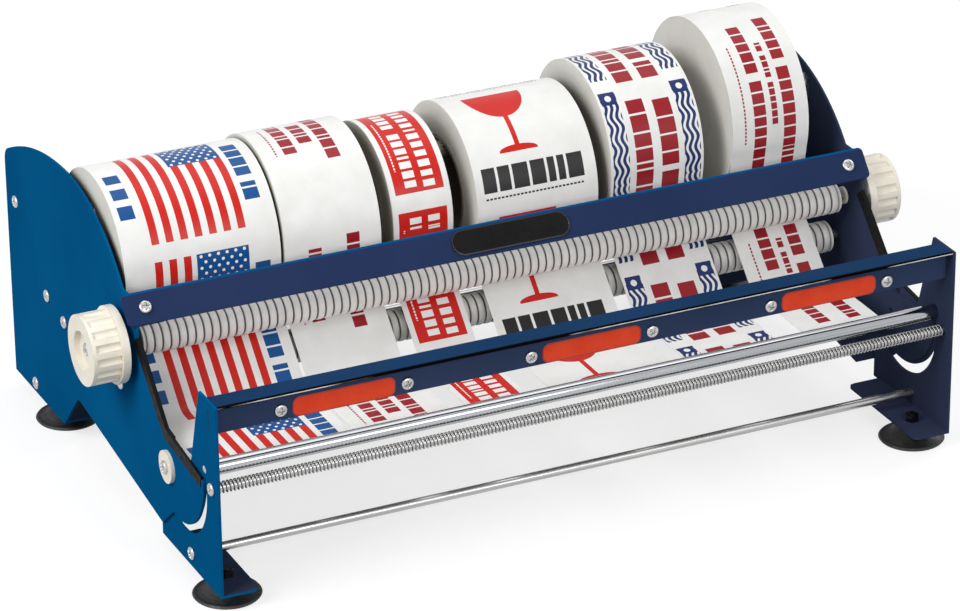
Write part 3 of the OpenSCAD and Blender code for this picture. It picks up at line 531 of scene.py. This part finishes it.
def side_material():
    """Cut edges of the wound tape: fine grey rings, with painted shade in the narrow gaps between the rolls.
    """
    shade_reach = 0.03
    g = Graph("tape_edges")
    a = g.node("ShaderNodeAttribute", attribute_name="tape")
    _, _, w = g.split(a.outputs["Vector"])
    comb = g.node("ShaderNodeCombineXYZ")
    g.feed(comb.inputs[0], w)
    rings = g.noise(comb.outputs[0], 3.2, 5.0, 0.75)
    cloud = g.noise(g.coords(), 60.0, 4.0)
    tone = g.mix(g.smooth(rings, 0.3, 0.7), lin(204, 202, 195), lin(236, 235, 229))
    tone = g.mix(g.smooth(cloud, 0.45, 0.75, 0.0, 0.35), tone, lin(206, 200, 188))
    # Painted shade: ambient occlusion darkens the colour where the rolls stand close.
    gap = g.node("ShaderNodeAmbientOcclusion", samples=8)
    g.feed(gap.inputs["Distance"], shade_reach)
    g.colour(g.mix(g.smooth(gap.outputs["AO"], 0.15, 0.7), lin(112, 106, 97), tone))
    g.rough(g.smooth(rings, 0.3, 0.7, 0.6, 0.8))
    g.bump(rings, 0.3, 0.0003)
    return g.mat


# Mesh helpers

def new_piece(name, verts, faces, mats, body, replaced, tags=None, crisp=None):
    """A smooth piece that rides a body; tags pick each face's material, crisp is an angle for sharpen."""
    me = bpy.data.meshes.new(name)
    me.from_pydata(verts, [], faces)
    me.update()
    ob = bpy.data.objects.new(name, me)
    scene.collection.objects.link(ob)
    for m in mats:
        me.materials.append(m)
    for p in me.polygons:
        p.use_smooth = True
    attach(ob, body)
    if replaced:
        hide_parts(replaced)
    if tags:
        for p, t in zip(me.polygons, tags):
            p.material_index = t
    if crisp:
        sharpen(me, crisp)
    return ob


def sharpen(me, degrees):
    """Keeps edges over an angle crisp under smooth shading."""
    normals = [p.normal.copy() for p in me.polygons]
    use = {}
    for p in me.polygons:
        for key in p.edge_keys:
            use.setdefault(key, []).append(p.index)
    limit = math.cos(math.radians(degrees))
    for e in me.edges:
        fs = use.get(e.key, [])
        e.use_edge_sharp = len(fs) == 2 and normals[fs[0]].dot(normals[fs[1]]) < limit


def lathe(profile, centre, segs):
    """Closed profile of (x, r) turned about an X axis through centre (y, z)."""
    verts, faces = [], []
    n = len(profile)
    for i in range(segs):
        a = 2 * math.pi * i / segs
        for x, r in profile:
            verts.append((x, centre[0] + r * math.cos(a), centre[1] + r * math.sin(a)))
    for i in range(segs):
        j = (i + 1) % segs
        for k in range(n):
            m = (k + 1) % n
            faces.append((i * n + k, i * n + m, j * n + m, j * n + k))
    return verts, faces


def screw_head(radius, height):
    """Pan head with a cross recess, seat at z = 0, axis +Z."""
    segs, rings = 48, 15
    angles = [2 * math.pi * i / segs for i in range(segs)]

    def inside(value, limit, soft):
        return max(0.0, min(1.0, (radius * limit - abs(value)) / (radius * soft)))

    verts, faces = [(0.0, 0.0, 0.0)], []
    for r, z in [(radius * 0.985, 0.0), (radius, height * 0.12), (radius, height * 0.34)]:
        verts += [(r * math.cos(a), r * math.sin(a), z) for a in angles]
    for k in range(1, rings):
        s = 1 - k / rings
        r = radius * s * (0.98 if k == 1 else 1.0)
        dome = height * (0.42 + 0.58 * (1 - s * s) ** 0.6)
        for a in angles:
            x, y = r * math.cos(a), r * math.sin(a)
            arm_x = inside(y, 0.16, 0.07) * inside(x, 0.62, 0.1)
            arm_y = inside(x, 0.16, 0.07) * inside(y, 0.62, 0.1)
            verts.append((x, y, dome - height * 0.5 * max(arm_x, arm_y)))
    verts.append((0.0, 0.0, height * 0.5))
    loops = 2 + rings
    for i in range(segs):
        j = (i + 1) % segs
        faces.append((0, 1 + j, 1 + i))
        for k in range(loops - 1):
            a, b = 1 + k * segs, 1 + (k + 1) * segs
            faces.append((a + i, a + j, b + j, b + i))
        last = 1 + (loops - 1) * segs
        faces.append((last + i, last + j, len(verts) - 1))
    return verts, faces


def screws(name, node, body, places):
    """One piece of many screw heads; places are (position, direction, twist in degrees)."""
    head_verts, head_faces = screw_head(HEAD_R, HEAD_H)
    verts, faces = [], []
    for pos, direction, twist in places:
        turn = Matrix.Rotation(math.radians(twist), 3, "Z")
        rot = Vector(direction).to_track_quat("Z", "Y").to_matrix() @ turn
        base = len(verts)
        verts += [tuple(rot @ Vector(v) + Vector(pos)) for v in head_verts]
        faces += [tuple(base + i for i in f) for f in head_faces]
    new_piece(name, verts, faces, [zinc], body, node, crisp=38)


def pill(name, centre, up, size, radius, mats, bevel, inset, dish):
    """Thin plate along X with round ends, a bevelled rim and a field that lies a little lower or higher."""
    corner_steps, least_r, field_slope = 12, 0.0003, 0.0003
    length, height, thick = size
    along, up, c = Vector((1, 0, 0)), Vector(up).normalized(), Vector(centre)
    out = along.cross(up)

    def outline(shrink):
        pts = []
        r = max(radius - shrink, least_r)
        w, h = length / 2 - shrink - r, height / 2 - shrink - r
        for sx, sy, a0 in ((1, 1, 0), (-1, 1, 90), (-1, -1, 180), (1, -1, 270)):
            for k in range(corner_steps + 1):
                a = math.radians(a0 + 90 * k / corner_steps)
                pts.append((sx * w + r * math.cos(a), sy * h + r * math.sin(a)))
        return pts

    steps = [(0.0, 0.0), (0.0, thick - bevel), (bevel * 0.3, thick - bevel * 0.3), (bevel, thick),
             (inset, thick), (inset + field_slope, thick + dish)]
    n = 4 * (corner_steps + 1)
    verts = [tuple(c + along * x + up * y + out * lift)
             for shrink, lift in steps for x, y in outline(shrink)]
    faces = []
    for k in range(len(steps) - 1):
        for i in range(n):
            j = (i + 1) % n
            faces.append((k * n + i, k * n + j, (k + 1) * n + j, (k + 1) * n + i))
    tags = [1] * len(faces) + [0, 1]
    faces.append(tuple(range((len(steps) - 1) * n, len(steps) * n)))
    faces.append(tuple(reversed(range(n))))
    return new_piece(name, verts, faces, mats, "frame", None, tags, crisp=30)


# The frame's own nodes keep their shapes and get these materials

finishes = {
    "blue_paint": blue, "zinc_steel": zinc, "chrome": chrome, "blade_steel": blade_steel,
    "spring_steel": spring_steel, "ivory_nylon": nylon, "roller_rubber": nylon, "black_rubber": rubber,
    "black_gloss": black, "red_gloss": red, "card": card, "label_tape": nylon,
}
own = {"crossbar": bar_blue, "guard_strip": navy, "stretcher": navy, "front_rail": rail_blue,
       "foot_studs": dark_steel}
for part in frame["record"]["subparts"]:
    ob = nodes[part["node"]]
    for s in ob.material_slots:
        s.material = own.get(part["node"], finishes[part["material_slot"]])


# Edging, slimmer than its solid

def slim_edging(node):
    width_share = 0.5
    src = nodes[node]
    mid_x = middle(node).x
    points = [src.matrix_world @ v.co for v in src.data.vertices]
    verts = [(mid_x + (q.x - mid_x) * width_share, q.y, q.z) for q in points]
    faces = [tuple(f.vertices) for f in src.data.polygons]
    new_piece(node + "_lip", verts, faces, [edging], "frame", node, crisp=30)


slim_edging("edge_trim_left")
slim_edging("edge_trim_right")


# Rollers with rounded rings, at the pitch that the photograph shows

def ring_roller(name, node, body, centre):
    pitch, end_room, segs = 0.0065, 0.004, 40
    end = [(0.0, ROLLER_R - ROLLER_BORE_R), (0.0, 0.001), (0.0008, 0.0002)]  # along, depth
    ring = [(0.0006, 0.0013), (0.0007, 0.0006), (0.0011, 0.0002), (0.0018, 0.0)]
    ring += [(pitch - x, d) for x, d in reversed(ring)]
    lo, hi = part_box(node)
    count = int((hi.x - lo.x - end_room) / pitch)
    first = -count * pitch / 2
    prof = [(lo.x + x, ROLLER_R - d) for x, d in end]
    prof += [(first + i * pitch + x, ROLLER_R - d) for i in range(count) for x, d in ring]
    prof += [(hi.x - x, ROLLER_R - d) for x, d in reversed(end)]
    verts, faces = lathe(prof, centre, segs)
    rings = roller_material(name + "_rings", centre)
    new_piece(name, verts, faces, [rings], body, node, crisp=50)


ring_roller("drive_roller_rings", "drive_roller", "drive_roller", DRIVE_YZ)
ring_roller("guide_roller_rings", "guide_roller", "guide_roller", GUIDE_YZ)


# Contact spring with its full number of turns

def make_spring():
    mean, wire, turns, per, sides = 0.004, 0.0006, 205, 14, 8
    end_room, tail_room = 0.0014, 0.0001
    lo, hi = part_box("contact_spring")
    cy, cz = middle("contact_spring").yz
    x0, x1 = lo.x + end_room, hi.x - end_room
    path = [Vector((lo.x + tail_room, cy + mean, cz))]
    total = turns * per
    for i in range(total + 1):
        a = 2 * math.pi * i / per
        path.append(Vector((x0 + (x1 - x0) * i / total, cy + mean * math.cos(a), cz + mean * math.sin(a))))
    path.append(Vector((hi.x - tail_room, cy + mean, cz)))
    verts, faces = [], []
    for i, p in enumerate(path):
        t = (path[min(i + 1, len(path) - 1)] - path[max(i - 1, 0)]).normalized()
        n = Vector((0, p.y - cy, p.z - cz)).normalized()
        n = (n - t * n.dot(t)).normalized()
        b = t.cross(n)
        for k in range(sides):
            a = 2 * math.pi * k / sides
            verts.append(tuple(p + wire * (n * math.cos(a) + b * math.sin(a))))
    for i in range(len(path) - 1):
        for k in range(sides):
            m = (k + 1) % sides
            faces.append((i * sides + k, (i + 1) * sides + k, (i + 1) * sides + m, i * sides + m))
    faces.append(tuple(range(sides)))
    faces.append(tuple(reversed(range((len(path) - 1) * sides, len(path) * sides))))
    new_piece("contact_spring_coils", verts, faces, [spring_steel], "frame", "contact_spring")


make_spring()

# Label rolls and drawn-out tapes

ON_ROLL = math.radians(3)  # of a drawn-out tape that still lies on its roll
ROLL_PROUD = 0.0007  # brings a roll's outside level with the tape that leaves it
ROLL_EDGE = 0.0004
SIDE_INSET = 0.0003
prints = [print_stripes, print_lines, print_panels, print_goblet, print_waves, print_columns]
print_shift = [26.0, 30.0, 16.0, 14.0, 74.0, 116.0]  # where each print starts on its roll, in millimetres
web_shift = [92.0, 14.0, 0.0, 0.0, 16.0, 123.0]  # and on its drawn-out tape
edges_grey = side_material()
tape_mats = [make() for make in prints]


def wobble(k, i):
    """Small fixed offsets that keep a roll's side from being a perfect plane."""
    most = 0.00022
    return math.sin(12.9898 * (k + 1) + 78.233 * (i + 1)) * most


def leave_angle(cz, radius):
    """Where a tape leaves its roll for the drive roller."""
    reach = Vector((DRIVE_YZ[0] - SPINDLE_Y, DRIVE_YZ[1] - cz))
    lean = math.acos((radius + TAPE_LIFT + TAPE_R) / reach.length)
    return math.atan2(reach.y, reach.x) + 2 * math.pi - lean


def arc(c, r, a0, a1, n):
    angles = [a0 + (a1 - a0) * i / n for i in range(n + 1)]
    return [(c[0] + r * math.cos(a), c[1] + r * math.sin(a)) for a in angles]


def distance(a, b):
    return math.hypot(b[0] - a[0], b[1] - a[1])


def tape_path(cz, radius):
    """Middle line of a tape, as in the solids, with more points."""
    drop, bend_r, lift_l, lift_h, peel_y, step = 0.058, 0.015, 0.028, 0.0035, -0.178, 0.006
    la = leave_angle(cz, radius)
    s45 = math.sqrt(0.5)
    bend = (DRIVE_YZ[0] + TAPE_R * s45 - drop * s45, DRIVE_YZ[1] - TAPE_R * s45 - drop * s45)
    bend_c = (bend[0] - bend_r * math.tan(math.radians(22.5)), bend[1] + bend_r)
    lift_r = (lift_l ** 2 + lift_h ** 2) / (2 * lift_h)
    lift_a = math.asin(lift_l / lift_r)
    pts = arc((SPINDLE_Y, cz), radius + TAPE_LIFT, la - ON_ROLL, la, 3)
    pts += arc(DRIVE_YZ, TAPE_R, la - math.pi, -math.pi / 4, 12)
    pts += arc(bend_c, bend_r, -math.pi / 4, -math.pi / 2, 12)
    pts += arc((peel_y + lift_l, bend[1] + lift_r), lift_r, -math.pi / 2, -math.pi / 2 - lift_a, 8)
    fine = [pts[0]]
    for a, b in zip(pts, pts[1:]):
        n = max(1, int(distance(a, b) / step))
        fine += [(a[0] + (b[0] - a[0]) * s / n, a[1] + (b[1] - a[1]) * s / n) for s in range(1, n + 1)]
    return fine


def set_tape(ob, values):
    """Gives each corner its place on the tape, which the prints read."""
    attr = ob.data.attributes.new("tape", "FLOAT_VECTOR", "CORNER")
    attr.data.foreach_set("vector", [c for v in values for c in v])


def make_roll(k):
    segs, layers = 144, 14
    node = "roll_%d" % (k + 1)
    lo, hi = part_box(node)
    cz = middle(node).z
    inner = radius_of("core_%d" % (k + 1)) + AIR
    la = leave_angle(cz, radius_of(node))
    radius = radius_of(node) + ROLL_PROUD
    levels = [inner + (radius - ROLL_EDGE - inner) * i / layers for i in range(layers + 1)]
    left = [(lo.x + SIDE_INSET + wobble(k, i), r, 1) for i, r in enumerate(levels)]
    right = [(hi.x - SIDE_INSET - wobble(k + 7, i), r, 1) for i, r in enumerate(levels)]
    prof = left + [(lo.x + ROLL_EDGE, radius, 0), (hi.x - ROLL_EDGE, radius, 0)] + right[::-1]
    n = len(prof)
    verts, faces, values, tags = [], [], [], []
    for i in range(segs):
        a = la - 2 * math.pi * i / segs
        for x, r, _ in prof:
            verts.append((x, SPINDLE_Y + r * math.cos(a), cz + r * math.sin(a)))
    for i in range(segs):
        j = (i + 1) % segs
        for m in range(n):
            q = (m + 1) % n
            faces.append((i * n + m, j * n + m, j * n + q, i * n + q))
            tags.append(max(prof[m][2], prof[q][2]))
            for idx, turn in ((m, i), (m, i + 1), (q, i + 1), (q, i)):
                x, r, _ = prof[idx]
                along = -radius * 2 * math.pi * turn / segs * 1000.0 + print_shift[k]
                values.append(((x - lo.x) * 1000.0, along, r * 1000.0))
    ob = new_piece(node + "_tape", verts, faces, [tape_mats[k], edges_grey], node, node,
                   tags, crisp=40)
    set_tape(ob, values)


def make_web(k):
    cols = 9
    node = "web_%d" % (k + 1)
    lo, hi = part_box(node)
    roll = "roll_%d" % (k + 1)
    roll_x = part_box(roll)[0].x
    radius = radius_of(roll)
    path = tape_path(middle(roll).z, radius)
    n = len(path)
    run = [-(radius + TAPE_LIFT) * ON_ROLL]
    for a, b in zip(path, path[1:]):
        run.append(run[-1] + distance(a, b))
    across = [lo.x + (hi.x - lo.x) * c / (cols - 1) for c in range(cols)]
    offsets = []
    for i in range(n):
        a, b = path[max(i - 1, 0)], path[min(i + 1, n - 1)]
        d = distance(a, b)
        offsets.append((-(b[1] - a[1]) / d * TAPE_T / 2, (b[0] - a[0]) / d * TAPE_T / 2))
    verts = [(x, p[0] + face * o[0], p[1] + face * o[1])
             for face in (1, -1) for p, o in zip(path, offsets) for x in across]
    faces, values, tags = [], [], []

    def put(quad, tag):
        """Adds a face; a corner is (face 1 or -1, place along, place across)."""
        faces.append(tuple((0 if face == 1 else n * cols) + i * cols + c for face, i, c in quad))
        for _, i, c in quad:
            values.append(((across[c] - roll_x) * 1000.0, run[i] * 1000.0 + web_shift[k], 0.0))
        tags.append(tag)

    for i in range(n - 1):
        for c in range(cols - 1):
            quad = [(i, c), (i, c + 1), (i + 1, c + 1), (i + 1, c)]
            put([(1, a, b) for a, b in quad], 1)
            put([(-1, a, b) for a, b in quad[::-1]], 0)
        for c, way in ((0, 1), (cols - 1, -1)):
            put([(1, i, c), (1, i + 1, c), (-1, i + 1, c), (-1, i, c)][::way], 1)
    for i, way in ((0, -1), (n - 1, 1)):
        for c in range(cols - 1):
            put([(1, i, c), (1, i, c + 1), (-1, i, c + 1), (-1, i, c)][::way], 1)
    ob = new_piece(node + "_tape", verts, faces, [tape_mats[k], paper_back], "frame", node,
                   tags, crisp=40)
    set_tape(ob, values)


for k in range(len(prints)):
    make_roll(k)
    make_web(k)


# Screws with cross recesses

def pair(x, yz, twist):
    """Places of two screws that face outwards, left and right."""
    return [((s * x, yz[0], yz[1]), (s, 0, 0), twist) for s in SIDES]


def spread(node, length, count):
    """Middles along X of equally spaced things of one length that fill a node's box."""
    lo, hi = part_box(node)
    first, last = lo.x + length / 2, hi.x - length / 2
    return [first + (last - first) * i / (count - 1) for i in range(count)]


marks_lo, marks_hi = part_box("red_markers")
guard_y, guard_z = marks_hi.y, middle("red_markers").z
stretcher_yz = ((0.09, 0.105), (0.126, 0.112))
knob_seat_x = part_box("drive_shaft")[1].x + AIR

screws("crossbar_screw_heads", "crossbar_screws", "frame",
       [((x, BAR_FACE.y, BAR_FACE.z), BAR_OUT, 20 + 30 * s)
        for s, x in zip(SIDES, spread("crossbar_screws", 2 * HEAD_R, 2))])
screws("guard_screw_heads", "guard_screws", "frame",
       [((x, guard_y, guard_z), (0, -1, 0), 17 * i)
        for i, x in enumerate(spread("guard_screws", 2 * HEAD_R, 6))])
screws("rod_screw_heads", "rod_screws", "frame",
       pair(FRONT_X, middle("spring_rod").yz, 12) + pair(FRONT_X, middle("lower_front_rod").yz, 40)
       + pair(PLATE_X, middle("lower_rear_rod").yz, 65) + pair(PLATE_X, middle("upper_rear_rod").yz, 28))
screws("clamp_screw_heads", "clamp_screws", "frame",
       pair(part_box("clamp_washers")[1].x, middle("clamp_washers").yz, 33))
screws("stretcher_screw_heads", "stretcher_screws", "frame",
       [((s * PLATE_X, y, z), (s, 0, 0), 50 + 400 * y) for s in SIDES for y, z in stretcher_yz])
screws("guide_screw_heads", "guide_screws", "frame", pair(PLATE_X, GUIDE_YZ, 8))
screws("knob_screw_heads", "knob_screws", "drive_roller", pair(knob_seat_x, DRIVE_YZ, 22))

# Bare badge and red pills

badge_lo, badge_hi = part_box("badge_plate")
badge_mid = BAR_FACE + Vector((middle("badge_plate").x, 0, 0))
badge_size = (badge_hi.x - badge_lo.x, 0.020, 0.0012)
badge = pill("badge_oval", badge_mid, BAR_UP, badge_size, 0.0099,
             [black, rim], bevel=0.0003, inset=0.0009, dish=-0.0002)
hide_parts("badge_plate")
pill_size = (0.080, marks_hi.z - marks_lo.z, marks_hi.y - marks_lo.y)
for i, x in enumerate(spread("red_markers", pill_size[0], 3)):
    p = pill("red_pill_%d" % (i + 1), (x, guard_y, guard_z), (0, 0, 1), pill_size, 0.0056,
             [red, red_edge], bevel=0.0002, inset=0.0008, dish=0.0001)
    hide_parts("red_markers")


# Floor, light and camera

def make_floor():
    """Pale floor that keeps the shadow near the object and turns to plain white far off."""
    half, near, far_off = 8.0, 0.9, 2.4
    me = bpy.data.meshes.new("floor")
    corners = [(-half, -half, 0), (half, -half, 0), (half, half, 0), (-half, half, 0)]
    me.from_pydata(corners, [], [(0, 1, 2, 3)])
    ob = bpy.data.objects.new("floor", me)
    scene.collection.objects.link(ob)
    g = Graph("floor_white")
    x, y, _ = g.split(g.coords())
    far = g.smooth(g.math("SQRT", g.squares(x, y)), near, far_off)
    g.colour(g.mix(far, (0.36, 0.36, 0.36, 1), (0.02, 0.02, 0.02, 1)))
    rays = g.node("ShaderNodeLightPath").outputs
    seen = g.most(rays["Is Camera Ray"], rays["Is Glossy Ray"], rays["Is Transmission Ray"])
    g.set(Roughness=0.9, Specular_IOR_Level=0.0, Emission_Color=(1, 1, 1, 1))
    g.feed(g.bsdf.inputs["Emission Strength"], g.mul(seen, g.smooth(far, 0.0, 1.0, 0.71, 1.0)))
    me.materials.append(g.mat)


def make_world():
    """White to the camera and in reflections, and a dimmer white as a lamp."""
    lamp_strength, seen_strength = 0.34, 1.0
    world = bpy.data.worlds.new("studio")
    scene.world = world
    world.use_nodes = True
    tree = world.node_tree
    tree.nodes.clear()
    new, link = tree.nodes.new, tree.links.new
    rays = new("ShaderNodeLightPath").outputs
    seen = rays["Is Camera Ray"]
    for kind in ("Is Glossy Ray", "Is Transmission Ray"):
        most = new("ShaderNodeMath")
        most.operation = "MAXIMUM"
        link(seen, most.inputs[0])
        link(rays[kind], most.inputs[1])
        seen = most.outputs[0]
    mix = new("ShaderNodeMixShader")
    link(seen, mix.inputs[0])
    for socket, strength in ((1, lamp_strength), (2, seen_strength)):
        white = new("ShaderNodeBackground")
        white.inputs["Color"].default_value = (1, 1, 1, 1)
        white.inputs["Strength"].default_value = strength
        link(white.outputs[0], mix.inputs[socket])
    link(mix.outputs[0], new("ShaderNodeOutputWorld").inputs[0])


def area(name, pos, target, size, power):
    d = bpy.data.lights.new(name, "AREA")
    d.shape = "RECTANGLE"
    d.size, d.size_y = size
    d.energy = power
    ob = bpy.data.objects.new(name, d)
    scene.collection.objects.link(ob)
    ob.location = pos
    ob.rotation_euler = (Vector(target) - Vector(pos)).to_track_quat("-Z", "Y").to_euler()


def make_camera():
    """The camera that was fitted to the photograph's straight edges."""
    eye = Vector((-1.3737, -2.9523, 1.6279))
    aim = Vector((-0.0318, -0.0760, 0.1330))
    roll = math.radians(-0.48)
    data = bpy.data.cameras.new("camera")
    data.sensor_fit = "HORIZONTAL"
    data.sensor_width = 36.0
    data.lens = 175.66
    data.clip_end = 50.0
    cam = bpy.data.objects.new("camera", data)
    scene.collection.objects.link(cam)
    back = (eye - aim).normalized()
    right = Vector((0, 0, 1)).cross(back).normalized()
    up = back.cross(right)
    cx = right * math.cos(roll) + up * math.sin(roll)
    cy = up * math.cos(roll) - right * math.sin(roll)
    cam.matrix_world = Matrix(((cx.x, cy.x, back.x, eye.x),
                               (cx.y, cy.y, back.y, eye.y),
                               (cx.z, cy.z, back.z, eye.z),
                               (0, 0, 0, 1)))
    scene.camera = cam


make_floor()
make_world()
area("key_left", (-2.1, -0.6, 1.75), (0, 0, 0.15), (1.4, 1.4), 46)
area("soft_top", (0.3, 0.4, 2.4), (0, 0, 0.15), (2.0, 1.6), 12)
area("right_fill", (2.2, 0.7, 1.4), (0, 0, 0.15), (1.4, 1.2), 14)
area("front_fill", (0.2, -2.6, 1.3), (0, 0, 0.12), (1.8, 1.0), 26)
make_camera()
scene.view_settings.view_transform = "Standard"
